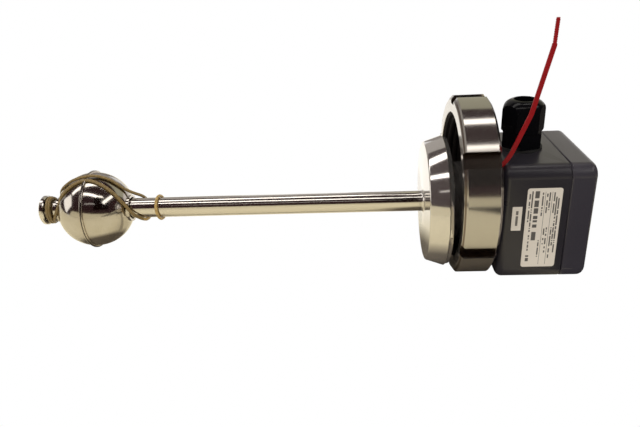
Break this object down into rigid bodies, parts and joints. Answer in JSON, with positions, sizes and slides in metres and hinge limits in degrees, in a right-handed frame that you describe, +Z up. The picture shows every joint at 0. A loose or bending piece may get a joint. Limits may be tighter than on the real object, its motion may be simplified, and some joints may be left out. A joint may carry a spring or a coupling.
{
  "type": "float level switch",
  "caption": "Float level switch: ball float on a guide tube below a cone liner with a slotted union nut, and a square connection head with a cable gland.",
  "frame": {"origin": "centre of the process connection's flat sealing face, on the guide tube's axis", "axes": "+Z up along the guide tube's axis, from the float to the connection head; -X out of the cable gland; -Y towards the head's labelled side"},
  "size_m": [0.1729, 0.1196, 0.372],
  "materials": {
    "float_steel": "mirror-polished stainless steel",
    "tube_steel": "drawn and lightly polished stainless steel",
    "liner_steel": "finely turned and polished stainless steel",
    "nut_steel": "turned stainless steel, polished outside",
    "head_paint": "dark blue-grey powder coat, satin, fine texture",
    "gland_plastic": "black moulded plastic, glossy",
    "black_rubber": "matt black rubber",
    "tan_rubber": "tan natural rubber, satin",
    "red_nylon": "dark red moulded nylon",
    "screw_steel": "plain stainless steel screws",
    "magnet": "sintered magnet, matt dark grey",
    "board": "green circuit board",
    "reed_glass": "glass capsule",
    "lead_insulation": "brown wire insulation",
    "terminal_plastic": "light grey moulded plastic"
  },
  "bodies": {
    "sensor": {"guide_tube": "tube_steel", "end_stop": "tube_steel", "liner": "liner_steel", "neck_gasket": "black_rubber", "neck_screws": "screw_steel", "housing_base": "head_paint", "housing_lid": "head_paint", "lid_gasket": "black_rubber", "lid_screws": "screw_steel", "gland_washer": "black_rubber", "gland_body": "gland_plastic", "gland_locknut": "gland_plastic", "gland_seal": "black_rubber", "cable_tie": "red_nylon", "reed_board": "board", "reed_switches": "reed_glass", "lead_wires": "lead_insulation", "terminal_block": "terminal_plastic", "terminal_screws": "screw_steel", "block_screws": "screw_steel", "earth_screw": "screw_steel"},
    "float": {"float_lower_half": "float_steel", "float_upper_half": "float_steel", "float_bore_tube": "float_steel", "float_magnet": "magnet", "rubber_band": "tan_rubber", "rubber_band_loop": "tan_rubber"},
    "nut": {"union_nut": "nut_steel"},
    "gland_cap": {"gland_cap": "gland_plastic"}
  },
  "joints": [
    {"name": "float_slide", "type": "slide", "parent": "sensor", "child": "float", "axis": [0, 0, 1], "range_m": [0, 0.1825]},
    {"name": "nut_spin", "type": "hinge", "parent": "sensor", "child": "nut", "pos_m": [-0.0119, 0, 0.02935], "axis": [0, 0, 1], "continuous": true},
    {"name": "gland_cap_turn", "type": "hinge", "parent": "sensor", "child": "gland_cap", "pos_m": [-0.06, 0, 0.0632], "axis": [-1, 0, 0], "range_deg": [-180, 720]}
  ]
}
